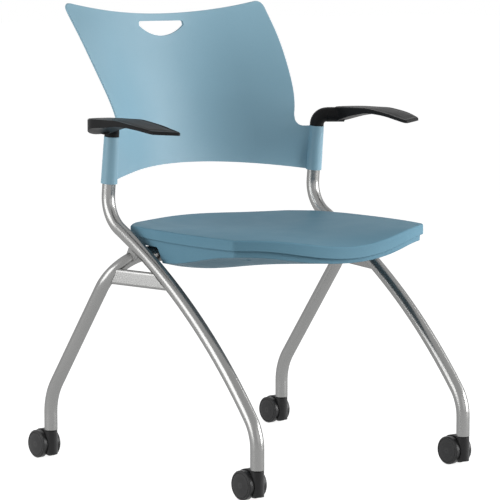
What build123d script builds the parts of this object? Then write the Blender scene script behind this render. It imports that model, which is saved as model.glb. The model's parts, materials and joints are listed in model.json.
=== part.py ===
"""Nesting chair with a fixed bent-tube frame, a flip-up seat and four twin-wheel casters.

Row frame: +Z is up, the chair faces -Y, and +X is the sitter's left.  The origin lies on the
floor, under the middle of the chair's overall box.  All sizes are in millimetres.
"""

import os
from math import asin, atan2, cos, degrees, radians, sin, tan

from build123d import *

os.makedirs("parts", exist_ok=True)

# ---------------------------------------------------------------- driving sizes: frame tubes
tube_d = 25.0                 # outside diameter of every round tube
tube_wall = 1.8
weld_gap = 0.3                # gap left at a coped or welded seat
front_track_x = 254.5         # side tube axis to the middle of the chair
nest_step = 37.0              # rear legs stand this much further out, so that chairs nest
front_foot_y = -294.9
rear_foot_y = 261.8

front_foot_rise = 35.6        # straight foot above the tube's end
front_foot_bend_r = 86.0
front_foot_turn = 37.8        # degrees, from upright to the leg's lean
leg_bow_r = 1090.0            # the long gentle bow of the front leg
leg_bow_turn = 24.4
shoulder_run = 19.0           # straight between the bow and the upper bend
back_bend_r = 64.0
upright_lean = 5.8            # degrees that the upright leans forward
upright_length = 98.9

rear_foot_corner_z = 120.9    # where the rear foot's line meets the leg's line
rear_foot_bend_r = 100.0
rear_shoulder_r = 80.0

bar_height = 30.0             # flat-oval side bars
bar_thickness = 10.0
bar_wall = 1.5
bar_front_z = 361.8           # side bar's middle at the side tube
bar_rear_z = 365.0            # and at the rear leg
gusset_thickness = 9.0
gusset_width = 24.0

# ---------------------------------------------------------------- driving sizes: seat hinge
pivot_y = 53.6                # cross tube axis, which the seat turns about
pivot_z = 405.2
flip_angle = 80.0             # degrees from the sitting place to the nesting place
running = 0.05                # radial clearance of a running fit
fit = 0.1                     # radial clearance of a fixed sleeve, spigot or bush
bush_wall = 2.0
barrel_wall = 3.0
barrel_length = 24.0
barrel_in_x = 64.5            # middle of each hinge barrel, inboard of the side tubes
stop_key_width = 7.0          # along the tube
stop_key_angle = 16.0         # degrees that the key covers round the tube
stop_key_at = 215.0           # where the key sits, in degrees from +Y towards +Z
stop_key_rise = 4.6           # key's height above the tube
stop_gap = 1.5                # degrees between key and notch at either end of the flip
side_play = 0.5               # key to bush, along the tube
channel_height = 10.0
channel_wall = 2.5
channel_front = 222.0         # reach of the channel ahead of the pivot
channel_top = 29.1            # top of the channel above the pivot
neck_length = 26.0

# ---------------------------------------------------------------- driving sizes: seat
seat_wall = 4.0
seat_top_z = 453.3            # top of the seat at its rear rim
# How far the seat's edge lies inboard of the side tubes' axes.
seat_rear_in = 27.5           # at the rear corners
seat_mid_in = 8.0             # at the widest place
seat_front_in = 20.0          # at the front corners
seat_rear_corner_y = 96.5
seat_rear_mid_y = 199.9
seat_mid_y = -76.6
seat_front_corner_y = -207.0
seat_front_mid_y = -271.1
seat_front_corner_r = 14.0
seat_rear_corner_r = 8.0
seat_edge_r = 3.2             # rounding of the rim's top edge
slab_depth = 150.0            # depth of the block that the seat is cut from

# Places along the seat, and how far the top lies below the rear rim there, at four shares of
# the half width: the middle, the thigh line, near the rim and past the rim.
seat_places = (218.4, 133.4, 43.4, -76.6, -166.6, -226.6, -266.6, -301.6)
seat_drops = {
    0.0: (-3.0, 7.5, 11.0, 10.0, 10.5, 15.5, 24.2, 37.0),
    0.49: (-3.0, 4.5, 7.0, 6.0, 6.8, 9.0, 15.0, 24.0),
    0.84: (-4.0, -1.5, 1.0, 2.2, 3.0, 5.0, 9.0, 14.0),
    1.09: (-3.0, -2.0, -1.0, 0.8, 3.6, 6.0, 9.5, 14.0),
}
# How far the lower edge of the seat's band lies below the seat's rear rim at the same places.
band_drops = {
    0.0: (17.5, 28.0, 31.5, 30.5, 33.0, 38.0, 46.0, 58.0),
    0.49: (17.5, 25.0, 27.5, 26.5, 26.5, 28.5, 38.0, 48.0),
    0.84: (16.5, 18.5, 20.5, 22.0, 22.5, 24.0, 29.5, 37.0),
    1.09: (15.0, 16.5, 18.5, 21.0, 21.5, 19.5, 22.0, 26.0),
}

under_wall = 3.0
under_gap = 1.0               # underpan to rim, all round
under_top = 15.0              # top of the underpan's wall below the seat's rear rim
under_taper = 4.0             # degrees
# How far the underpan's bottom lies below the seat's rear rim at its own places.
under_places = (223.4, 43.4, -6.6, -56.6, -126.6, -166.6, -216.6, -258.6, -296.6)
under_drops = {
    0.0: (73.0, 73.0, 73.0, 72.5, 65.5, 62.0, 58.5, 56.0, 54.0),
    0.45: (72.0, 72.0, 72.0, 71.0, 63.5, 58.5, 52.0, 46.5, 41.5),
    0.69: (72.5, 72.5, 72.5, 71.0, 60.5, 51.5, 41.0, 34.5, 29.5),
    0.87: (68.0, 67.5, 66.0, 63.0, 50.5, 42.0, 34.5, 28.5, 24.5),
    1.03: (62.0, 60.5, 59.5, 57.5, 46.5, 39.0, 33.0, 28.0, 24.0),
}
step_ahead = 48.0             # top of the step, ahead of the pivot
step_run = 18.0               # slope of the step: its run and its rise
step_rise = 34.0
tunnel_gap = 2.6              # cross tube to the shallow rear part above it
step_r = 9.0
slot_gap = 3.5                # hinge bracket to its slot in the underpan
slot_length = 46.0

# ---------------------------------------------------------------- driving sizes: back shell
back_t = 5.0
back_arc_half = 150.0         # half width of the curved middle; the sides run on straight
back_beyond = 7.5             # how far the uncut shell runs past the side tubes
# Height above the shell's lowest corner, depth behind the sleeve's foot, radius of the curve.
back_places = (
    (-16.0, 82.0, 320.0),
    (59.0, 102.0, 276.0),
    (113.0, 118.0, 254.0),
    (192.0, 140.2, 300.0),
    (245.0, 154.6, 377.0),
    (296.0, 166.6, 585.0),
    (339.0, 179.1, 880.0),
)
back_low_z = 531.8            # the shell's lowest corners
back_low_bow = 20.3           # rise of the lower edge at the middle
back_top_z = 863.3            # the shell's upper corners
back_top_dip = 25.3           # fall of the upper edge at the middle
back_top_in = 9.2             # upper corners, inboard of the side tubes
back_mid_in = 13.2            # edge at its middle height
back_mid_z = 779.3
back_notch_in = 36.0          # waist above the sleeves
back_notch_z = 640.3
back_corner_r = 13.0
notch_r = 14.0
sleeve_low_z = 530.9
sleeve_top_z = 617.8
sleeve_wall_top = 1.7
sleeve_wall_low = 2.9

hole_half = 55.0              # handle hole
hole_top_z = 823.8
hole_bottom_z = 795.0
hole_end_z = 815.1
hole_corner_r = 6.0

# ---------------------------------------------------------------- driving sizes: arms
arm_post_d = 27.5
arm_spigot_length = 34.0
arm_bend_r = 19.0
arm_mid_z = 639.4             # axis of the elbow
arm_elbow_d = 29.0            # the elbow swells to this at its end
arm_elbow_out = 42.5          # the elbow's end, outboard and ahead of the upright
arm_elbow_ahead = 31.0
arm_inner_out = 20.0          # pad's inner edge outboard of the upright
arm_width = 66.0
arm_length = 231.4            # pad's tip ahead of the upright
arm_slant = 19.0              # the tip's outer corner lies this far behind the inner one
arm_nose_in = 13.5            # and this far inboard of the pad's outer side
arm_rear_r = 42.0
arm_rear_ahead = 21.0         # the rear curve's end on the outer side, ahead of the elbow's end
arm_root_in = 18.0            # the inner side's start, inboard of the elbow's end
arm_root_behind = 8.0         # and behind it
arm_tip_r = 6.0
arm_top_z = 655.6
arm_edge_r = 2.0
arm_keel_in = 27.0            # the underside's keel, outboard of the pad's inner edge
# Places behind the pad's tip, the top's fall there and the pad's depth at its edges and keel.
arm_places = (-12.0, 2.0, 32.0, 59.0, 87.0, 112.0, 137.0, 172.0, 197.0, 226.0)
arm_drops = (21.5, 18.8, 12.7, 7.3, 3.2, 0.3, 0.1, 0.1, 0.4, 1.2)
arm_inner_depths = (5.0, 5.2, 5.8, 6.2, 7.5, 9.5, 13.0, 20.0, 26.0, 29.0)
arm_keel_depths = (5.2, 5.4, 6.2, 6.8, 8.5, 11.0, 13.0, 20.0, 26.5, 30.5)
arm_outer_depths = (5.0, 5.2, 5.8, 6.4, 8.0, 10.5, 13.5, 15.5, 18.0, 20.0)

# ---------------------------------------------------------------- driving sizes: casters
wheel_r = 26.5
wheel_width = 14.0
wheel_half_span = 21.4        # outer face of a wheel to the caster's middle
wheel_play = 0.7              # wheel to hood, sideways
axle_d = 6.0
axle_bite = 9.0               # how deep the axle reaches into a wheel
caster_trail = 22.0
caster_height = 53.2          # top of the hood above the floor
hood_d = 24.4
hood_clear = 1.2              # hood to tread
hood_low_z = 8.0
hood_fin = 2.0                # how far the middle fin stands above the wheels
fin_from = -8.0               # the fin's ends round the axle, in degrees
fin_to = 150.0
stem_d = 11.0
stem_length = 26.0
stem_sunk = 18.0
flange_t = 1.5
bearing_gap = 0.3

# ---------------------------------------------------------------- driving sizes: fasteners
screw_d = 5.0
screw_head_d = 9.5
screw_head_t = 3.0
boss_d = 11.0
small_screw_d = 4.0
small_head_d = 8.0
small_head_t = 2.4
under_screw_front_in = 68.5   # front screws, inboard of the side tubes
under_screw_front_y = -191.0
under_screw_rear_in = 104.5
under_screw_rear_y = 113.4
under_screw_front_z = 409.4   # underside of the underpan at its front screws
recess_depth = 5.0
screw_bite = 9.0              # how far a screw reaches into its boss
back_screw_rises = (11.0, 39.0)   # back screws above the sleeve's foot

# ---------------------------------------------------------------- derived sizes
rear_track_x = front_track_x + nest_step
barrel_x = front_track_x - barrel_in_x
seat_rear_half = front_track_x - seat_rear_in
seat_mid_half = front_track_x - seat_mid_in
seat_front_half = front_track_x - seat_front_in
back_reach = front_track_x + back_beyond
back_top_half = front_track_x - back_top_in
back_mid_half = front_track_x - back_mid_in
back_notch_half = front_track_x - back_notch_in
under_screw_front_x = front_track_x - under_screw_front_in
under_screw_rear_x = front_track_x - under_screw_rear_in
tube_r = tube_d / 2
bore_r = tube_r - tube_wall
rod_r = tube_r + weld_gap
tube_end_z = caster_height + bearing_gap + flange_t
upright_heading = 90.0 + upright_lean
shoulder_heading = 90.0 - front_foot_turn - leg_bow_turn
bush_r = tube_r + running + bush_wall
barrel_r = bush_r + fit + barrel_wall
sleeve_r = tube_r + fit + sleeve_wall_low
screw_reach = sleeve_r - tube_r + tube_wall + 1
upward = (Align.CENTER, Align.CENTER, Align.MIN)
downward = (Align.CENTER, Align.CENTER, Align.MAX)


def side_path():
    """Axis of a side tube in the side view: foot, foot bend, bow, shoulder, bend, upright."""
    foot_end = (front_foot_y, tube_end_z + front_foot_rise)
    foot = Line((front_foot_y, tube_end_z), foot_end)
    bend = JernArc(foot @ 1, foot % 1, front_foot_bend_r, -front_foot_turn)
    bow = JernArc(bend @ 1, bend % 1, leg_bow_r, -leg_bow_turn)
    shoulder = Line(bow @ 1, bow @ 1 + (bow % 1) * shoulder_run)
    upper = JernArc(shoulder @ 1, shoulder % 1, back_bend_r, upright_heading - shoulder_heading)
    Line(upper @ 1, upper @ 1 + (upper % 1) * upright_length)


def rear_path():
    """Axis of the rear frame: foot, leg, shoulder, cross tube and the same on the other side."""
    sides = (-rear_track_x, rear_track_x)
    feet = [(x, rear_foot_y, tube_end_z) for x in sides]
    knees = [(x, rear_foot_y, rear_foot_corner_z) for x in sides]
    tops = [(x, pivot_y, pivot_z) for x in sides]
    bends = [rear_foot_bend_r, rear_shoulder_r, rear_shoulder_r, rear_foot_bend_r]
    FilletPolyline(feet[0], knees[0], tops[0], tops[1], knees[1], feet[1], radius=bends)


with BuildLine(Plane.YZ.offset(front_track_x)) as side_axis:
    side_path()
side_wire = side_axis.wire()

with BuildLine() as rear_axis:
    rear_path()
rear_wire = rear_axis.wire()

upright_top = side_wire @ 1
upright_dir = (side_wire % 1).normalized()
rear_lean = degrees(atan2(rear_foot_y - pivot_y, pivot_z - rear_foot_corner_z))


def upright_point(z):
    """Point on the left upright's axis line at a height."""
    return upright_top + upright_dir * ((z - upright_top.Z) / upright_dir.Z)


def rear_leg_point(z):
    """Point on the left rear leg's axis at a height, in its lean or in its shoulder bend."""
    y = rear_foot_y - (z - rear_foot_corner_z) * tan(radians(rear_lean))
    up_leg = rear_shoulder_r - (pivot_z - z) / cos(radians(rear_lean))
    inward = 0.0
    if up_leg > 0:
        inward = rear_shoulder_r - (rear_shoulder_r**2 - up_leg**2) ** 0.5
    return Vector(rear_track_x - inward, y, z)


def side_tube_point(z):
    """Point on the left side tube's axis at a height, found by halving the path."""
    low, high = 0.0, 1.0
    while high - low > 1e-6:
        middle = (low + high) / 2
        if (side_wire @ middle).Z < z:
            low = middle
        else:
            high = middle
    return side_wire @ low


def round_section(path, outer, inner=0.0):
    """Round section, square to the start of a path, open where there is an inner radius."""
    with BuildSketch(Plane(origin=path @ 0, z_dir=path % 0)) as section:
        Circle(outer)
        if inner:
            Circle(inner, mode=Mode.SUBTRACT)
    return section.sketch


def finish(part, name):
    """Label a piece and write its STEP file."""
    part.label = name
    export_step(part, f"parts/{name}.step")


def pair(part, name):
    """Write a left-hand piece and its mirror image, the right-hand piece."""
    finish(part, f"{name}_left")
    finish(mirror(part, about=Plane.YZ), f"{name}_right")


sleeve_foot = upright_point(sleeve_low_z)
screw_dir = Vector(0, upright_dir.Z, -upright_dir.Y)
back_screw_places = [(x, rise) for x in (-front_track_x, front_track_x) for rise in back_screw_rises]


def back_screw_plane(x, rise):
    """Plane at the rear of a sleeve, facing out along a screw."""
    at = sleeve_foot + upright_dir * rise + screw_dir * sleeve_r
    return Plane(origin=(x, at.Y, at.Z), x_dir=(1, 0, 0), z_dir=screw_dir)


# ================================================================ frame tubes
with BuildPart() as frame_tube:
    sweep(round_section(side_wire, tube_r, bore_r), path=side_wire)
    for rise in back_screw_rises:
        with Locations(back_screw_plane(front_track_x, rise)):
            Cylinder(screw_d / 2 + fit, sleeve_r, align=downward, mode=Mode.SUBTRACT)

with BuildPart() as rear_frame_tube:
    sweep(round_section(rear_wire, tube_r, bore_r), path=rear_wire)

# Solid rods a little thicker than the tubes cope whatever is welded to them.
with BuildPart() as side_rod:
    sweep(round_section(side_wire, rod_r), path=side_wire)

with BuildPart() as rear_rod:
    sweep(round_section(rear_wire, rod_r), path=rear_wire)

pair(frame_tube.part, "frame_tube")
finish(rear_frame_tube.part, "rear_frame_tube")

# Side bar: a flat-oval tube from the side tube to the rear leg, coped to both.
bar_front = side_tube_point(bar_front_z)
bar_rear = rear_leg_point(bar_rear_z)
bar_dir = (bar_rear - bar_front).normalized()
bar_start = Plane(origin=bar_front - bar_dir * tube_d * 3, x_dir=(0, 0, 1), z_dir=bar_dir)
with BuildPart() as long_bar:
    with BuildSketch(bar_start):
        SlotOverall(bar_height, bar_thickness)
        SlotOverall(bar_height - 2 * bar_wall, bar_thickness - 2 * bar_wall, mode=Mode.SUBTRACT)
    extrude(amount=(bar_rear - bar_front).length + tube_d * 6)
    add(side_rod.part, mode=Mode.SUBTRACT)
    add(rear_rod.part, mode=Mode.SUBTRACT)

bar_middle = (bar_front + bar_rear) / 2
with BuildPart() as side_bar:
    add(long_bar.solids().sort_by_distance(bar_middle)[0])

# Gusset: a saddle block between the side tube and the rear tube's shoulder under it.
shoulder_in = rear_track_x - front_track_x
shoulder_up = (rear_shoulder_r**2 - (rear_shoulder_r - shoulder_in) ** 2) ** 0.5
shoulder_fall = (rear_shoulder_r - shoulder_up) * cos(radians(rear_lean))
shoulder_point = rear_leg_point(pivot_z - shoulder_fall)
over_point = side_wire.closest_points(Vertex(*shoulder_point))[0]
gusset_dir = over_point - shoulder_point
gusset_plane = Plane(origin=shoulder_point, x_dir=(1, 0, 0), z_dir=gusset_dir)
with BuildPart() as frame_gusset:
    with BuildSketch(gusset_plane):
        RectangleRounded(gusset_thickness, gusset_width, 2)
    extrude(amount=gusset_dir.length)
    add(side_rod.part, mode=Mode.SUBTRACT)
    add(rear_rod.part, mode=Mode.SUBTRACT)

pair(side_bar.part, "side_bar")
pair(frame_gusset.part, "frame_gusset")


# ================================================================ seat pan
def circle_through(first, second, third):
    """Centre and radius of the circle through three points of the plan."""
    (ax, ay), (bx, by), (cx, cy) = first, second, third
    twice = 2 * (ax * (by - cy) + bx * (cy - ay) + cx * (ay - by))
    a, b, c = ax**2 + ay**2, bx**2 + by**2, cx**2 + cy**2
    x = (a * (by - cy) + b * (cy - ay) + c * (ay - by)) / twice
    y = (a * (cx - bx) + b * (ax - cx) + c * (bx - ax)) / twice
    return (x, y), ((ax - x) ** 2 + (ay - y) ** 2) ** 0.5


def seat_outline(inset):
    """Plan of the seat's rim, drawn in by an inset: what four large circles share."""
    rear = (seat_rear_half, seat_rear_corner_y)
    front = (seat_front_half, seat_front_corner_y)
    rear_at, rear_r = circle_through(rear, (0, seat_rear_mid_y), (-rear[0], rear[1]))
    front_at, front_r = circle_through(front, (0, seat_front_mid_y), (-front[0], front[1]))
    side_at, side_r = circle_through(rear, (seat_mid_half, seat_mid_y), front)
    with BuildSketch() as plan:
        with Locations(rear_at):
            Circle(rear_r - inset)
        with Locations(front_at):
            Circle(front_r - inset, mode=Mode.INTERSECT)
        with Locations(Location((side_at[0], side_at[1], 0), (0, 0, 180))):
            Circle(side_r - inset, mode=Mode.INTERSECT)
        with Locations((-side_at[0], side_at[1])):
            Circle(side_r - inset, mode=Mode.INTERSECT)
        corners = plan.vertices().sort_by(Axis.Y)
        fillet(corners[:2], seat_front_corner_r - min(inset, seat_front_corner_r / 2))
        corners = plan.vertices().sort_by(Axis.Y)
        fillet(corners[-2:], seat_rear_corner_r - min(inset, seat_rear_corner_r / 2))
    return plan.sketch


def height_block(drops_at, places, base_z, far_z):
    """Lengthwise sections of a block between a moulded surface and a level plane, for a loft.

    drops_at gives the fall below base_z at each place, for shares of the seat's half width.
    """
    shares = sorted({-share for share in drops_at} | set(drops_at))
    sections = []
    for share in shares:
        drops = drops_at[abs(share)]
        points = [(y, base_z - drop) for y, drop in zip(places, drops)]
        with BuildSketch(Plane.YZ.offset(share * seat_mid_half)) as section:
            with BuildLine():
                Spline(points)
                Polyline(points[-1], (places[-1], far_z), (places[0], far_z), points[0])
            make_face()
        sections.append(section.sketch)
    return sections


slab_low_z = seat_top_z - slab_depth
with BuildPart() as seat_slab:
    loft(height_block(seat_drops, seat_places, seat_top_z, slab_low_z))

with BuildPart() as below_band:
    loft(height_block(band_drops, seat_places, seat_top_z, slab_low_z))

prism_height = slab_depth * 2


def lowered(part, drop):
    """A copy of a construction block, set lower."""
    return part.moved(Location((0, 0, -drop)))


with BuildPart() as seat_hollow:
    add(lowered(seat_slab.part, seat_wall))
    extrude(seat_outline(seat_wall).moved(Location((0, 0, slab_low_z - seat_wall))),
            amount=prism_height, mode=Mode.INTERSECT)


# Bosses under the seat: three for each hinge bracket and four for the underpan.
tunnel_z = pivot_z + tube_r + tunnel_gap
channel_top_z = pivot_z + channel_top
channel_low_z = channel_top_z - channel_height
bracket_screw_places = [
    (x, pivot_y - reach)
    for x in (-barrel_x, barrel_x)
    for reach in (channel_front - boss_d, channel_front / 2, neck_length)
]
under_screw_places = [
    (side * x, y, z + recess_depth)
    for side in (-1, 1)
    for x, y, z in (
        (under_screw_front_x, under_screw_front_y, under_screw_front_z),
        (under_screw_rear_x, under_screw_rear_y, tunnel_z),
    )
]
with BuildPart() as pan_bosses:
    with Locations(*[(x, y, channel_top_z) for x, y in bracket_screw_places]):
        Cylinder(boss_d / 2, slab_depth, align=upward)
    with Locations(*[(x, y, z + under_wall + weld_gap) for x, y, z in under_screw_places]):
        Cylinder(boss_d / 2, slab_depth, align=upward)
    add(lowered(seat_slab.part, seat_wall / 2), mode=Mode.INTERSECT)
    with Locations(*[(x, y, channel_top_z) for x, y in bracket_screw_places]):
        Cylinder(screw_d / 2 + fit, screw_bite, align=upward, mode=Mode.SUBTRACT)
    with Locations(*[(x, y, z) for x, y, z in under_screw_places]):
        Cylinder(small_screw_d / 2 + fit, under_wall + screw_bite, align=upward, mode=Mode.SUBTRACT)

with BuildPart() as seat_pan:
    add(seat_slab.part)
    rim_plan = seat_outline(0).moved(Location((0, 0, slab_low_z - slab_depth)))
    extrude(rim_plan, amount=prism_height, mode=Mode.INTERSECT)
    fillet(seat_pan.faces().sort_by(Axis.Z)[-1].edges(), seat_edge_r)
    add(seat_hollow.part, mode=Mode.SUBTRACT)
    add(below_band.part, mode=Mode.SUBTRACT)
    add(pan_bosses.part)


# ================================================================ underpan
def tunnel_plan(inset):
    """Side view of the space behind the deep front part, where the cross tube lies."""
    far_y = seat_rear_mid_y * 2
    top_y = pivot_y - step_ahead
    with BuildSketch(Plane.YZ) as plan:
        with BuildLine():
            Polyline(
                (top_y, tunnel_z),
                (far_y, tunnel_z),
                (far_y, tunnel_z - 3 * step_rise),
                (top_y - 3 * step_run, tunnel_z - 3 * step_rise),
                close=True,
            )
        make_face()
        fillet(plan.vertices().sort_by_distance((top_y, tunnel_z, 0))[0], step_r)
        if inset:
            offset(amount=inset, mode=Mode.REPLACE)
    return plan.sketch


def under_block(inset):
    """Solid form of the underpan, drawn in on every side by an inset."""
    top_z = seat_top_z - under_top
    rim_in = seat_wall + under_gap + inset
    with BuildPart() as block:
        loft(height_block(under_drops, under_places, seat_top_z + inset, seat_top_z * 1.2))
        plan = seat_outline(rim_in).moved(Location((0, 0, top_z)))
        extrude(plan, amount=slab_depth, dir=(0, 0, -1), taper=under_taper, mode=Mode.INTERSECT)
        extrude(tunnel_plan(inset), amount=seat_mid_half * 2, both=True, mode=Mode.SUBTRACT)
    return block.part


under_outer = under_block(0)
under_inner = under_block(under_wall)
cup_r = small_head_d / 2 + fit + under_wall

with BuildPart() as under_cups:
    with Locations(*[(x, y, z + under_wall) for x, y, z in under_screw_places]):
        Cylinder(cup_r, recess_depth * 3, align=downward)
    add(under_outer, mode=Mode.INTERSECT)

with BuildPart() as seat_underpan:
    add(under_outer)
    add(under_inner, mode=Mode.SUBTRACT)
    add(lowered(seat_slab.part, seat_wall + under_gap), mode=Mode.INTERSECT)
    add(under_cups.part)
    with Locations(*[(x, y, z) for x, y, z in under_screw_places]):
        Cylinder(small_head_d / 2 + weld_gap, recess_depth * 3, align=downward, mode=Mode.SUBTRACT)
        Cylinder(small_screw_d / 2 + fit, under_wall * 3, align=upward, mode=Mode.SUBTRACT)
    with Locations((-barrel_x, pivot_y, tunnel_z), (barrel_x, pivot_y, tunnel_z)):
        Box(barrel_length + 2 * slot_gap, slot_length, under_wall * 4, mode=Mode.SUBTRACT)

finish(seat_pan.part, "seat_pan")
finish(seat_underpan.part, "seat_underpan")

with BuildPart() as underpan_screws:
    with Locations(*[(x, y, z) for x, y, z in under_screw_places]):
        Cylinder(small_head_d / 2, small_head_t, align=downward)
        Cylinder(small_screw_d / 2, under_wall + screw_bite - weld_gap, align=upward)
finish(underpan_screws.part, "underpan_screws")


# ================================================================ seat hinge
def on_pivot(x):
    """Plane square to the pivot at a distance from the middle."""
    return Plane(origin=(x, pivot_y, pivot_z), x_dir=(0, 1, 0), z_dir=(1, 0, 0))


def sector(inner, outer, start, end):
    """Part of a ring between two angles, drawn about the origin."""
    far = outer * 2
    middle = (start + end) / 2
    rays = [(far * cos(radians(a)), far * sin(radians(a))) for a in (start, middle, end)]
    with BuildSketch() as piece:
        Circle(outer)
        Circle(inner, mode=Mode.SUBTRACT)
        with BuildSketch(mode=Mode.INTERSECT):
            Polygon((0, 0), *rays, align=None)
    return piece.sketch


barrel_in = barrel_x - barrel_length / 2
notch_length = stop_key_width + 2 * side_play
key_low = stop_key_at - stop_key_angle / 2
key_high = stop_key_at + stop_key_angle / 2
bearing_r = bush_r + fit

with BuildPart() as hinge_bracket:
    # Pressed channel under the seat, open below.
    with BuildSketch(Plane.XZ.offset(channel_front - pivot_y)) as channel_end:
        with Locations((barrel_x, channel_low_z)):
            Rectangle(barrel_length, channel_height, align=(Align.CENTER, Align.MIN))
        with Locations((barrel_x, channel_low_z - channel_wall)):
            Rectangle(
                barrel_length - 2 * channel_wall,
                channel_height,
                align=(Align.CENTER, Align.MIN),
                mode=Mode.SUBTRACT,
            )
    extrude(channel_end.sketch, amount=-(channel_front + neck_length / 2))
    # Neck and barrel.
    with Locations((barrel_x, pivot_y, pivot_z)):
        Box(
            barrel_length,
            neck_length,
            channel_top,
            align=(Align.CENTER, Align.CENTER, Align.MIN),
        )
        Cylinder(barrel_r, barrel_length, rotation=(0, 90, 0))
        Cylinder(bearing_r, barrel_length, rotation=(0, 90, 0), mode=Mode.SUBTRACT)
    # Notch that the stop key runs in.
    notch = sector(
        bearing_r / 2,
        barrel_r * 1.1,
        key_low - stop_gap,
        key_high + flip_angle + stop_gap,
    )
    extrude(on_pivot(barrel_in) * notch, amount=notch_length, mode=Mode.SUBTRACT)
    # Screw holes.
    with Locations(*[(x, y, channel_top_z) for x, y in bracket_screw_places if x > 0]):
        Cylinder(screw_d / 2 + weld_gap, channel_wall * 2, mode=Mode.SUBTRACT)

with BuildPart() as hinge_bush:
    with BuildSketch(on_pivot(barrel_in + notch_length)):
        Circle(bush_r)
        Circle(tube_r + running, mode=Mode.SUBTRACT)
    extrude(amount=barrel_length - notch_length)

with BuildPart() as stop_key:
    key = sector(tube_r + fit, tube_r + stop_key_rise, key_low, key_high)
    extrude(on_pivot(barrel_in + side_play) * key, amount=stop_key_width)

with BuildPart() as seat_stops:
    add(stop_key.part)
    mirror(stop_key.part, about=Plane.YZ)

with BuildPart() as bracket_screws:
    with Locations(*[(x, y, channel_top_z - channel_wall) for x, y in bracket_screw_places]):
        Cylinder(screw_head_d / 2, screw_head_t, align=downward)
        Cylinder(screw_d / 2, channel_wall + screw_bite - weld_gap, align=upward)

pair(hinge_bracket.part, "hinge_bracket")
pair(hinge_bush.part, "hinge_bush")
finish(seat_stops.part, "seat_stops")
finish(bracket_screws.part, "bracket_screws")


# ================================================================ back shell
def back_section(rise, depth, radius):
    """Level section of the shell: a curved middle whose sides run on straight."""
    turn = asin(back_arc_half / radius)
    middle_y = upright_point(sleeve_low_z).Y + depth
    arc_y = middle_y - radius * (1 - cos(turn))
    end_y = arc_y - (back_reach - back_arc_half) * tan(turn)
    half = [(back_arc_half, arc_y), (back_reach, end_y)]
    with BuildSketch(Plane.XY.offset(back_low_z + rise)) as section:
        with BuildLine():
            ThreePointArc((-half[0][0], arc_y), (0, middle_y), half[0])
            Polyline(half[0], half[1], (back_reach, end_y + back_t), (back_arc_half, arc_y + back_t))
            ThreePointArc((back_arc_half, arc_y + back_t), (0, middle_y + back_t),
                          (-back_arc_half, arc_y + back_t))
            Polyline((-back_arc_half, arc_y + back_t), (-back_reach, end_y + back_t),
                     (-back_reach, end_y), (-back_arc_half, arc_y))
        make_face()
    return section.sketch


def back_outline():
    """Front view of the shell."""
    sleeve_side = front_track_x - tube_r / 2
    corner = (back_top_half, back_top_z)
    waist = (back_notch_half, back_notch_z)
    inner = (back_notch_half, sleeve_top_z)
    with BuildSketch(Plane.XZ) as view:
        with BuildLine():
            ThreePointArc((-sleeve_side, back_low_z), (0, back_low_z + back_low_bow),
                          (sleeve_side, back_low_z))
            Polyline((sleeve_side, back_low_z), (sleeve_side, sleeve_top_z), inner, waist)
            ThreePointArc(waist, (back_mid_half, back_mid_z), corner)
            ThreePointArc(corner, (0, back_top_z - back_top_dip), (-corner[0], corner[1]))
            ThreePointArc((-corner[0], corner[1]), (-back_mid_half, back_mid_z),
                          (-waist[0], waist[1]))
            Polyline((-waist[0], waist[1]), (-inner[0], inner[1]),
                     (-sleeve_side, sleeve_top_z), (-sleeve_side, back_low_z))
        make_face()
        for x in (-1, 1):
            top = view.vertices().sort_by_distance((x * corner[0], corner[1], 0))[0]
            fillet(top, back_corner_r)
            nook = view.vertices().sort_by_distance((x * inner[0], inner[1], 0))[0]
            fillet(nook, notch_r)
    return view.sketch


def handle_outline():
    """Front view of the handle hole: a flat top, round ends and a curved lower edge."""
    with BuildSketch(Plane.XZ) as view:
        with BuildLine():
            Polyline((-hole_half, hole_end_z), (-hole_half, hole_top_z),
                     (hole_half, hole_top_z), (hole_half, hole_end_z))
            ThreePointArc((hole_half, hole_end_z), (0, hole_bottom_z), (-hole_half, hole_end_z))
        make_face()
        fillet(view.vertices(), hole_corner_r * 0.7)
    return view.sketch


sleeve_length = (upright_point(sleeve_top_z) - sleeve_foot).length
sleeve_planes = [
    Plane(origin=(x, sleeve_foot.Y, sleeve_foot.Z), x_dir=(1, 0, 0), z_dir=upright_dir)
    for x in (-front_track_x, front_track_x)
]

with BuildPart() as back_blank:
    loft([back_section(*place) for place in back_places])

view_reach = back_reach * 3
with BuildPart() as back_shell:
    add(back_blank.part)
    extrude(back_outline(), amount=view_reach, both=True, mode=Mode.INTERSECT)
    extrude(handle_outline(), amount=view_reach, both=True, mode=Mode.SUBTRACT)
    with Locations(*sleeve_planes):
        Cone(sleeve_r, tube_r + fit + sleeve_wall_top, sleeve_length, align=upward)
        Cylinder(tube_r + fit, sleeve_length * 3, mode=Mode.SUBTRACT)
    for x, rise in back_screw_places:
        with Locations(back_screw_plane(x, rise)):
            Cylinder(screw_d / 2 + fit, sleeve_r, align=downward, mode=Mode.SUBTRACT)

finish(back_shell.part, "back_shell")


# ================================================================ arms
post_foot = upright_point(sleeve_top_z + weld_gap)
post_bend = upright_point(arm_mid_z)
elbow_end = post_bend + Vector(arm_elbow_out, -arm_elbow_ahead, 0)
tip_y = post_foot.Y - arm_length
inner_x = front_track_x + arm_inner_out
outer_x = inner_x + arm_width


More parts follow.
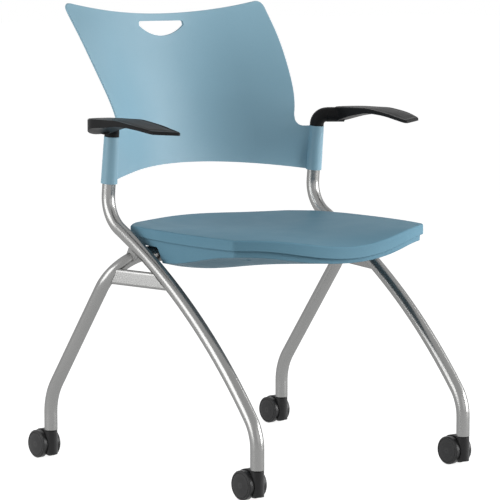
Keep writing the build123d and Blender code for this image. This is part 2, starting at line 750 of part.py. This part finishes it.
def arm_plan():
    """Plan of the arm pad."""
    side_y = elbow_end.Y - arm_rear_ahead
    root = (elbow_end.X - arm_root_in, elbow_end.Y + arm_root_behind)
    inner_end = (inner_x, tip_y + arm_length / 2)
    rear = (outer_x - arm_rear_r, side_y + arm_rear_r)
    shoulder = (outer_x, tip_y + arm_length * 0.4)
    nose = (outer_x - arm_nose_in, tip_y + arm_slant)
    with BuildSketch(Plane.XY.offset(arm_top_z / 2)) as plan:
        with BuildLine():
            Spline(root, inner_end, tangents=((-0.1, -1), (0, -1)))
            Polyline(inner_end, (inner_x, tip_y), nose)
            TangentArc(shoulder, nose, tangent=(0, -1))
            Line(shoulder, (outer_x, side_y))
            RadiusArc((outer_x, side_y), rear, -arm_rear_r)
            Line(rear, root)
        make_face()
        fillet(plan.vertices().sort_by(Axis.Y)[:2], arm_tip_r)
    return plan.sketch


def arm_section(x, depths):
    """Lengthwise section of the arm pad: a level top that falls to a thin tip."""
    tops = [(tip_y + place, arm_top_z - drop) for place, drop in zip(arm_places, arm_drops)]
    lows = [(y, z - depth) for (y, z), depth in zip(tops, depths)]
    with BuildSketch(Plane.YZ.offset(x)) as view:
        with BuildLine():
            Spline(tops)
            Spline(lows)
            Line(tops[0], lows[0])
            Line(tops[-1], lows[-1])
        make_face()
    return view.sketch


with BuildPart() as arm_pad:
    loft([
        arm_section(inner_x - arm_edge_r, arm_inner_depths),
        arm_section(inner_x + arm_keel_in, arm_keel_depths),
        arm_section(outer_x + arm_edge_r, arm_outer_depths),
    ])
    extrude(arm_plan(), amount=arm_top_z, mode=Mode.INTERSECT)
    chamfer(arm_pad.faces().sort_by(Axis.Z)[-1].edges(), arm_edge_r)

with BuildPart() as arm:
    with BuildLine() as elbow_axis:
        FilletPolyline(post_foot, post_bend, elbow_end, radius=arm_bend_r)
    elbow_wire = elbow_axis.wire()
    elbow_plane = Plane(origin=elbow_wire @ 1, z_dir=elbow_wire % 1)
    with BuildSketch(elbow_plane) as elbow_section:
        Circle(arm_elbow_d / 2)
    sweep(
        [round_section(elbow_wire, arm_post_d / 2), elbow_section.sketch],
        path=elbow_wire,
        multisection=True,
    )
    add(arm_pad.part)
    with BuildSketch(Plane(origin=post_foot, x_dir=(1, 0, 0), z_dir=upright_dir)):
        Circle(bore_r - fit)
    extrude(amount=-arm_spigot_length)

pair(arm.part, "arm")

# ================================================================ back screws
with BuildPart() as back_screws:
    for x, rise in back_screw_places:
        with Locations(back_screw_plane(x, rise)):
            Cylinder(screw_head_d / 2, screw_head_t, align=upward)
            Cylinder(screw_d / 2, screw_reach, align=downward)

finish(back_screws.part, "back_screws")


# ================================================================ casters
web_half = wheel_half_span - wheel_width - wheel_play
wheel_in = wheel_half_span - wheel_width
axle_half = wheel_in + axle_bite - bearing_gap


def on_axle(x):
    """Plane square to the wheel axle of a caster whose stem stands over the origin."""
    return Plane(origin=(x, caster_trail, wheel_r), x_dir=(0, 1, 0), z_dir=(1, 0, 0))


with BuildPart() as wheel:
    with BuildSketch() as wheel_half:
        with BuildLine():
            bore = axle_d / 2 + running
            Polyline(
                (wheel_half_span, 0),
                (wheel_in + axle_bite, 0),
                (wheel_in + axle_bite, bore),
                (wheel_in, bore),
                (wheel_in, wheel_r - 3.0),
                (wheel_in + 2.5, wheel_r),
                (wheel_half_span - 3.0, wheel_r),
                (wheel_half_span - 0.9, wheel_r - 2.2),
                (wheel_half_span - 0.9, wheel_r - 3.9),
                (wheel_half_span - 1.7, wheel_r - 3.9),
                (wheel_half_span - 1.7, wheel_r - 4.9),
                (wheel_half_span - 0.9, wheel_r - 4.9),
            )
            TangentArc(
                (wheel_half_span, 0),
                (wheel_half_span - 0.9, wheel_r - 4.9),
                tangent=(0, 1),
            )
        make_face()
    revolve(axis=Axis.X)

with BuildPart() as caster_body:
    # Post under the leg, cut round both wheels.
    with Locations((0, 0, hood_low_z)):
        Cylinder(hood_d / 2, caster_height - hood_low_z, align=upward)
    fillet(caster_body.faces().sort_by(Axis.Z)[-1].edges(), 1.5)
    for side in (-1, 1):
        with BuildSketch(on_axle(side * web_half)):
            Circle(wheel_r + hood_clear)
        extrude(amount=side * hood_d, mode=Mode.SUBTRACT)
    # Web between the wheels, with a fin that stands above them.
    fin_r = wheel_r + hood_fin
    with BuildSketch(on_axle(-web_half)):
        Circle(wheel_r - 5.5)
        add(sector(wheel_r / 2, fin_r, fin_from, fin_to))
    extrude(amount=2 * web_half)
    with Locations((0, 0, caster_height)):
        Cylinder(tube_r + hood_clear, hood_fin * 3, align=upward, mode=Mode.SUBTRACT)
        Cylinder(stem_d / 2 + fit, stem_sunk, align=downward, mode=Mode.SUBTRACT)
    with BuildSketch(on_axle(-web_half)):
        Circle(axle_d / 2 + fit)
    extrude(amount=2 * web_half, mode=Mode.SUBTRACT)

with BuildPart() as caster_axle:
    with BuildSketch(on_axle(-axle_half)):
        Circle(axle_d / 2)
    extrude(amount=2 * axle_half)

with BuildPart() as caster_stem:
    with Locations((0, 0, caster_height - stem_sunk + bearing_gap)):
        Cylinder(stem_d / 2, stem_length + stem_sunk - bearing_gap, align=upward)
    chamfer(caster_stem.faces().sort_by(Axis.Z)[-1].edges(), 1)

with BuildPart() as caster_socket:
    with Locations((0, 0, tube_end_z)):
        Cylinder(hood_d / 2, flange_t, align=downward)
        Cylinder(bore_r - fit, stem_length, align=upward)
    with Locations((0, 0, caster_height)):
        Cylinder(stem_d / 2 + running, stem_length * 3, mode=Mode.SUBTRACT)

feet = {
    "front_right": (-front_track_x, front_foot_y),
    "front_left": (front_track_x, front_foot_y),
    "rear_right": (-rear_track_x, rear_foot_y),
    "rear_left": (rear_track_x, rear_foot_y),
}
for foot, (x, y) in feet.items():
    under_foot = Location((x, y, 0))
    finish(caster_socket.part.moved(under_foot), f"caster_socket_{foot}")
    finish(caster_stem.part.moved(under_foot), f"caster_stem_{foot}")
    finish(caster_body.part.moved(under_foot), f"caster_body_{foot}")
    finish(caster_axle.part.moved(under_foot), f"caster_axle_{foot}")
    at_axle = Location((x, y + caster_trail, wheel_r))
    outward = wheel.part if x > 0 else mirror(wheel.part, about=Plane.YZ)
    inward = mirror(outward, about=Plane.YZ)
    finish(outward.moved(at_axle), f"wheel_{foot}_outer")
    finish(inward.moved(at_axle), f"wheel_{foot}_inner")
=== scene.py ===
import json
from math import cos, radians, sin

import bpy
from mathutils import Matrix, Vector

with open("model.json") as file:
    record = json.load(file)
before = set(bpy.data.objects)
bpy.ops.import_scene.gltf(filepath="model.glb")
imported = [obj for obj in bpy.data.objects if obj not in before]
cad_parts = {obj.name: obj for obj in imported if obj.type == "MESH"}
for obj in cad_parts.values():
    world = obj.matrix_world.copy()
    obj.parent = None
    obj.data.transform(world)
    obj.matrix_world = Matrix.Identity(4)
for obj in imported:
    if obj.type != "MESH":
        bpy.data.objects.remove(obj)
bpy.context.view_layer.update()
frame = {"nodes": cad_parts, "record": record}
nodes = frame["nodes"]


# ---------------------------------------------------------------- node helpers
def emptied_tree(holder):
    """The node tree of a material or world, with its default nodes taken out."""
    holder.use_nodes = True
    holder.node_tree.nodes.clear()
    return holder.node_tree


def new_material(name):
    """A node material that holds its output and one Principled shader."""
    mat = bpy.data.materials.new(name)
    tree = emptied_tree(mat)
    out = tree.nodes.new("ShaderNodeOutputMaterial")
    shader = tree.nodes.new("ShaderNodeBsdfPrincipled")
    tree.links.new(shader.outputs["BSDF"], out.inputs["Surface"])
    return mat, tree, shader


def noise(tree, coords, scale, detail=3.0, rough=0.5):
    """A noise texture in the row frame; scale is in waves per metre."""
    node = tree.nodes.new("ShaderNodeTexNoise")
    node.inputs["Scale"].default_value = scale
    node.inputs["Detail"].default_value = detail
    node.inputs["Roughness"].default_value = rough
    tree.links.new(coords, node.inputs["Vector"])
    return node.outputs["Fac"]


def remap(tree, value, low, high, to_low, to_high):
    """A value moved from one range to another, held inside it."""
    node = tree.nodes.new("ShaderNodeMapRange")
    node.inputs["From Min"].default_value = low
    node.inputs["From Max"].default_value = high
    node.inputs["To Min"].default_value = to_low
    node.inputs["To Max"].default_value = to_high
    tree.links.new(value, node.inputs["Value"])
    return node.outputs["Result"]


def blend_colours(tree, factor, first, second):
    """A mix of two colours, each a socket or an RGB tuple, by a factor."""
    node = tree.nodes.new("ShaderNodeMix")
    node.data_type = "RGBA"
    factor_in, first_in, second_in = node.inputs[0], node.inputs[6], node.inputs[7]
    colour_out = node.outputs[2]
    tree.links.new(factor, factor_in)
    for socket, colour in ((first_in, first), (second_in, second)):
        if isinstance(colour, tuple):
            socket.default_value = (*colour, 1.0)
        else:
            tree.links.new(colour, socket)
    return colour_out


def bump(tree, height, distance, strength, normal=None):
    """A bump from a height, laid over an earlier one where given."""
    node = tree.nodes.new("ShaderNodeBump")
    node.inputs["Distance"].default_value = distance
    node.inputs["Strength"].default_value = strength
    tree.links.new(height, node.inputs["Height"])
    if normal is not None:
        tree.links.new(normal, node.inputs["Normal"])
    return node.outputs["Normal"]


def coordinates(tree):
    """The row frame's coordinates, in metres."""
    return tree.nodes.new("ShaderNodeTexCoord").outputs["Object"]


def soft_edges(tree, radius):
    """A normal that rounds sharp edges by a radius."""
    node = tree.nodes.new("ShaderNodeBevel")
    node.samples = 6
    node.inputs["Radius"].default_value = radius
    return node.outputs["Normal"]


def calculate(tree, operation, first, second=0.0):
    """A math operation on two values, each a socket or a number."""
    node = tree.nodes.new("ShaderNodeMath")
    node.operation = operation
    for socket, value in zip(node.inputs, (first, second)):
        if isinstance(value, float):
            socket.default_value = value
        else:
            tree.links.new(value, socket)
    return node.outputs[0]


def edge_wear(tree, low=0.5, high=0.62):
    """1 along convex edges, 0 elsewhere."""
    geometry = tree.nodes.new("ShaderNodeNewGeometry")
    return remap(tree, geometry.outputs["Pointiness"], low, high, 0.0, 1.0)


def ray_is(tree, *kinds):
    """1 for a ray of one of these kinds, 0 for any other."""
    path = tree.nodes.new("ShaderNodeLightPath")
    value = path.outputs[kinds[0]]
    for kind in kinds[1:]:
        value = calculate(tree, "MAXIMUM", value, path.outputs[kind])
    return value


# ---------------------------------------------------------------- materials
# Noise scales are in waves per metre, depths and radii in metres.
drift_waves = 5.0             # slow colour drift over a moulding
patch_waves = 22.0            # duller and shinier patches
ripple_waves = 9.0            # the moulded face's slow waviness
ripple_depth = 0.0002
speck_share = 0.18            # how far the specks reach towards the paler colour
plastic_ior = 1.46

pad_inner_x = 0.2745          # the arm pad's inner edge, out from the middle plane
pad_width = 0.066
pad_tip_y = -0.1144           # the tip's inner corner
pad_tip_slope = 0.362         # how far back the tip's edge runs for each metre outwards
relief_band = 0.02            # the lip, groove and dish lie within this from the edge
relief_depth = 0.008
relief_profile = ((0.0, 0.7), (0.16, 1.0), (0.34, 0.1), (0.46, 0.2), (0.95, 0.35))

flake_waves = 5200.0          # metal flake in the silver coat
haze_waves = 14.0             # large dull areas from handling
haze_share = 0.22
rub_waves = 60.0              # finer handling marks
peel_waves = 900.0            # orange peel
peel_depth = 0.00002
coat_edge = 0.0006            # rounding of sharp edges under the coat
coat_tint = 0.55              # how bright the coat mirrors at a low angle

zinc_cloud_waves = 240.0
zinc_rough_waves = 700.0
zinc_grain_waves = 1500.0
zinc_grain_depth = 0.00004


def moulded_plastic(name, colour, lighter, darker, rough, grain, grain_depth, rub=0.25,
                    edge=0.0008, relief=None, gloss=0.4):
    """Moulded plastic: slow colour drift, spark-eroded grain, and edges rubbed a little paler."""
    mat, tree, shader = new_material(name)
    where = coordinates(tree)
    normal = soft_edges(tree, edge)
    if relief is not None:
        normal = relief(tree, where, normal)
    drift = remap(tree, noise(tree, where, drift_waves, 2.0), 0.3, 0.7, 0.0, 1.0)
    base = blend_colours(tree, drift, darker, colour)
    speck_waves = grain * 0.45
    speck = remap(tree, noise(tree, where, speck_waves, 2.0), 0.35, 0.65, 0.0, speck_share)
    base = blend_colours(tree, speck, base, lighter)
    worn = calculate(tree, "MULTIPLY", edge_wear(tree), rub)
    base = blend_colours(tree, worn, base, lighter)
    tree.links.new(base, shader.inputs["Base Color"])
    patch = remap(tree, noise(tree, where, patch_waves, 3.0), 0.3, 0.7, rough - 0.02, rough + 0.03)
    tree.links.new(patch, shader.inputs["Roughness"])
    grains = bump(tree, noise(tree, where, grain, 3.0, 0.6), grain_depth, 0.45, normal)
    ripple = bump(tree, noise(tree, where, ripple_waves, 1.0), ripple_depth, 0.2, grains)
    tree.links.new(ripple, shader.inputs["Normal"])
    shader.inputs["IOR"].default_value = plastic_ior
    shader.inputs["Specular IOR Level"].default_value = gloss
    return mat


def pad_relief(tree, where, normal):
    """The arm pad's raised lip, the groove inside it and the shallow dish between."""
    split = tree.nodes.new("ShaderNodeSeparateXYZ")
    tree.links.new(where, split.inputs["Vector"])
    sideways = calculate(tree, "ABSOLUTE", split.outputs["X"])
    from_inner = calculate(tree, "SUBTRACT", sideways, pad_inner_x)
    from_outer = calculate(tree, "SUBTRACT", pad_width, from_inner)
    behind_corner = calculate(tree, "SUBTRACT", split.outputs["Y"], pad_tip_y)
    tip_run = calculate(tree, "MULTIPLY", from_inner, pad_tip_slope)
    from_tip = calculate(tree, "SUBTRACT", behind_corner, tip_run)
    from_side = calculate(tree, "MINIMUM", from_inner, from_outer)
    from_edge = calculate(tree, "MINIMUM", from_side, from_tip)
    ramp = tree.nodes.new("ShaderNodeValToRGB")
    ramp.color_ramp.interpolation = "B_SPLINE"
    while len(ramp.color_ramp.elements) < len(relief_profile):
        ramp.color_ramp.elements.new(0.5)
    for element, (place, level) in zip(ramp.color_ramp.elements, relief_profile):
        element.position = place
        element.color = (level, level, level, 1.0)
    tree.links.new(remap(tree, from_edge, 0.0, relief_band, 0.0, 1.0), ramp.inputs["Fac"])
    facing = tree.nodes.new("ShaderNodeSeparateXYZ")
    geometry = tree.nodes.new("ShaderNodeNewGeometry")
    tree.links.new(geometry.outputs["Normal"], facing.inputs["Vector"])
    upward = remap(tree, facing.outputs["Z"], 0.55, 0.8, 0.0, 1.0)
    height = calculate(tree, "MULTIPLY", ramp.outputs["Color"], upward)
    return bump(tree, height, relief_depth, 1.0, normal)


def silver_coat(name, colour, flake, metallic, rough):
    """Powder coat on steel: metal flake, orange peel and faint handling marks."""
    mat, tree, shader = new_material(name)
    where = coordinates(tree)
    flakes = tree.nodes.new("ShaderNodeTexVoronoi")
    flakes.inputs["Scale"].default_value = flake_waves
    tree.links.new(where, flakes.inputs["Vector"])
    glints = remap(tree, flakes.outputs["Distance"], 0.0, 0.6, 1.0, 0.0)
    base = blend_colours(tree, glints, colour, flake)
    haze = remap(tree, noise(tree, where, haze_waves, 3.0), 0.35, 0.75, 0.0, haze_share)
    dulled = tuple(channel * 0.85 for channel in colour)
    base = blend_colours(tree, haze, base, dulled)
    tree.links.new(base, shader.inputs["Base Color"])
    rub = remap(tree, noise(tree, where, rub_waves, 4.0), 0.3, 0.75, rough - 0.03, rough + 0.05)
    tree.links.new(rub, shader.inputs["Roughness"])
    edges = soft_edges(tree, coat_edge)
    peel = bump(tree, noise(tree, where, peel_waves, 2.0), peel_depth, 0.25, edges)
    tree.links.new(peel, shader.inputs["Normal"])
    shader.inputs["Metallic"].default_value = metallic
    shader.inputs["Specular Tint"].default_value = (coat_tint, coat_tint, coat_tint, 1.0)
    return mat


def zinc_steel(name):
    """Zinc-plated fasteners and pins."""
    mat, tree, shader = new_material(name)
    where = coordinates(tree)
    cloud = remap(tree, noise(tree, where, zinc_cloud_waves, 3.0), 0.3, 0.7, 0.0, 1.0)
    base = blend_colours(tree, cloud, (0.42, 0.43, 0.45), (0.58, 0.58, 0.57))
    tree.links.new(base, shader.inputs["Base Color"])
    rough = remap(tree, noise(tree, where, zinc_rough_waves, 2.0), 0.3, 0.7, 0.24, 0.42)
    tree.links.new(rough, shader.inputs["Roughness"])
    grains = bump(tree, noise(tree, where, zinc_grain_waves, 2.0), zinc_grain_depth, 0.4)
    tree.links.new(grains, shader.inputs["Normal"])
    shader.inputs["Metallic"].default_value = 1.0
    return mat


materials = {
    # The back and the seat are one blue plastic in two copies. The back's copy is painted lighter,
    # as painted light from the lamps falling on the back.
    "back_blue": moulded_plastic(
        "back_blue_plastic_painted_light", colour=(0.225, 0.395, 0.492), lighter=(0.30, 0.48, 0.58),
        darker=(0.212, 0.378, 0.472), rough=0.44, grain=2400.0, grain_depth=0.00008),
    # The seat's copy of the same plastic is painted darker, as painted shade on the seat's top.
    "seat_blue": moulded_plastic(
        "seat_blue_plastic_painted_shade", colour=(0.122, 0.262, 0.348), lighter=(0.19, 0.35, 0.45),
        darker=(0.112, 0.246, 0.330), rough=0.52, grain=2000.0, grain_depth=0.00010,
        edge=0.002, gloss=0.10),
    "arm_black": moulded_plastic(
        "arm_black_plastic", colour=(0.009, 0.009, 0.0094), lighter=(0.030, 0.030, 0.031),
        darker=(0.006, 0.006, 0.0063), rough=0.44, grain=2600.0, grain_depth=0.00008,
        rub=0.3, edge=0.0025, relief=pad_relief, gloss=0.08),
    "caster_black": moulded_plastic(
        "caster_black_nylon", colour=(0.013, 0.013, 0.0135), lighter=(0.045, 0.045, 0.046),
        darker=(0.009, 0.009, 0.0095), rough=0.40, grain=1800.0, grain_depth=0.00006,
        rub=0.3, gloss=0.22),
    "wheel_black": moulded_plastic(
        "wheel_black_nylon", colour=(0.024, 0.024, 0.025), lighter=(0.09, 0.09, 0.09),
        darker=(0.016, 0.016, 0.017), rough=0.34, grain=1500.0, grain_depth=0.00006,
        rub=0.35, edge=0.0012, gloss=0.25),
    "bracket_steel": silver_coat(
        "bracket_dark_coat", colour=(0.13, 0.13, 0.13), flake=(0.16, 0.16, 0.16),
        metallic=0.7, rough=0.35),
    "frame_silver": silver_coat(
        "frame_silver_coat", colour=(0.27, 0.27, 0.266), flake=(0.30, 0.30, 0.296),
        metallic=0.80, rough=0.25),
    "screw_steel": zinc_steel("screw_zinc"),
}
slots = {entry["node"]: entry["material_slot"] for entry in frame["record"]["subparts"]}
for name, thing in nodes.items():
    mat = materials[slots[name]]
    if thing.data.materials:
        for index in range(len(thing.data.materials)):
            thing.data.materials[index] = mat
    else:
        thing.data.materials.append(mat)


# ---------------------------------------------------------------- studio
floor_size = 60.0
floor_grey = 0.40             # the floor's share that the lamps light and the chair shades
floor_glow = 0.90             # the share that makes it white where it is seen or mirrored
world_fill = 0.29             # the world's light on what isn't seen or mirrored
chair_middle = (0.0, 0.0, 0.45)


def plain_floor():
    """Pale floor: white to the camera and to reflections, with the object's soft shadow."""
    bpy.ops.mesh.primitive_plane_add(size=floor_size, location=(0, 0, 0))
    floor = bpy.context.object
    floor.name = "studio_floor"
    mat = bpy.data.materials.new("studio_floor_white")
    tree = emptied_tree(mat)
    out = tree.nodes.new("ShaderNodeOutputMaterial")
    matte = tree.nodes.new("ShaderNodeBsdfDiffuse")
    matte.inputs["Color"].default_value = (floor_grey, floor_grey, floor_grey, 1)
    glow = tree.nodes.new("ShaderNodeEmission")
    seen = ray_is(tree, "Is Camera Ray", "Is Glossy Ray")
    tree.links.new(calculate(tree, "MULTIPLY", seen, floor_glow), glow.inputs["Strength"])
    both = tree.nodes.new("ShaderNodeAddShader")
    tree.links.new(matte.outputs[0], both.inputs[0])
    tree.links.new(glow.outputs[0], both.inputs[1])
    tree.links.new(both.outputs[0], out.inputs["Surface"])
    floor.data.materials.append(mat)


def white_world(fill):
    """World that is white where it is seen or mirrored, and a plain fill elsewhere."""
    world = bpy.data.worlds.new("studio_world")
    bpy.context.scene.world = world
    tree = emptied_tree(world)
    out = tree.nodes.new("ShaderNodeOutputWorld")
    back = tree.nodes.new("ShaderNodeBackground")
    back.inputs["Color"].default_value = (1, 1, 1, 1)
    seen = ray_is(tree, "Is Camera Ray", "Is Glossy Ray", "Is Transmission Ray")
    tree.links.new(remap(tree, seen, 0.0, 1.0, fill, 1.0), back.inputs["Strength"])
    tree.links.new(back.outputs[0], out.inputs["Surface"])


def soft_box(name, place, aim, size, power):
    """A rectangular area lamp at a place, facing a point. Its power is in watts."""
    data = bpy.data.lights.new(name, "AREA")
    data.shape = "RECTANGLE"
    data.size, data.size_y = size
    data.energy = power
    lamp = bpy.data.objects.new(name, data)
    bpy.context.scene.collection.objects.link(lamp)
    lamp.location = place
    lamp.rotation_euler = (Vector(aim) - Vector(place)).to_track_quat("-Z", "Y").to_euler()


plain_floor()
white_world(world_fill)
soft_box("right", (2.6, -2.5, 1.1), chair_middle, size=(2.4, 1.8), power=124.0)
soft_box("right_strip", (3.0, -0.9, 2.0), chair_middle, size=(0.4, 2.4), power=12.0)
soft_box("left", (-3.2, 0.6, 1.25), chair_middle, size=(2.2, 2.4), power=66.0)
soft_box("front", (-0.6, -3.8, 1.2), chair_middle, size=(2.0, 1.6), power=8.0)


# ---------------------------------------------------------------- camera
camera_place = (-3.17750, -3.68125, 0.93532)
camera_yaw = radians(-40.63786)
camera_pitch = radians(6.29524)      # downwards
camera_lens = 187.2                  # millimetres, on a 36 mm sensor


def photo_camera():
    """The camera that was fitted to the photo."""
    data = bpy.data.cameras.new("photo_camera")
    data.lens = camera_lens
    data.sensor_width = 36.0
    data.clip_end = 100.0
    camera = bpy.data.objects.new("photo_camera", data)
    bpy.context.scene.collection.objects.link(camera)
    right = Vector((cos(camera_yaw), sin(camera_yaw), 0.0))
    back = Vector((sin(camera_yaw) * cos(camera_pitch), -cos(camera_yaw) * cos(camera_pitch),
                   sin(camera_pitch)))
    turn = Matrix((right, back.cross(right), back)).transposed().to_4x4()
    camera.matrix_world = Matrix.Translation(camera_place) @ turn
    return camera


scene = bpy.context.scene
scene.camera = photo_camera()
scene.view_settings.view_transform = "Standard"
